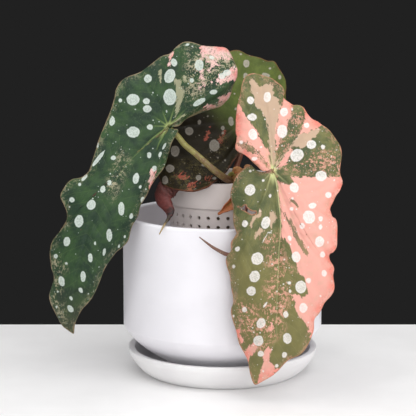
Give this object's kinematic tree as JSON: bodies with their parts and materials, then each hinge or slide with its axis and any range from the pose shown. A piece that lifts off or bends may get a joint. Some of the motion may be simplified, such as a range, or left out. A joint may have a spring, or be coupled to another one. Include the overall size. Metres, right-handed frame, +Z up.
{
  "type": "potted polka dot begonia",
  "caption": "White-spotted begonia with angel-wing leaves in a perforated inner pot, standing in a white outer pot on a saucer.",
  "frame": {"origin": "centre of the saucer's flat underside, on the surface that it stands on", "axes": "+Z up, +X to the right and -Y towards the viewer when the plant is seen from the front"},
  "size_m": [0.1686, 0.1435, 0.1995],
  "materials": {
    "white_ceramic": "satin",
    "white_plastic": "satin",
    "potting_soil": "matte",
    "stem_green": "satin",
    "leaf_green": "satin",
    "leaf_pink": "satin",
    "leaf_olive": "satin"
  },
  "bodies": {
    "root": {"saucer": "white_ceramic", "outer_pot": "white_ceramic", "inner_pot": "white_plastic", "soil": "potting_soil", "stem": "stem_green", "leaf_left": "leaf_green", "leaf_right": "leaf_pink", "leaf_back": "leaf_olive"}
  },
  "joints": []
}
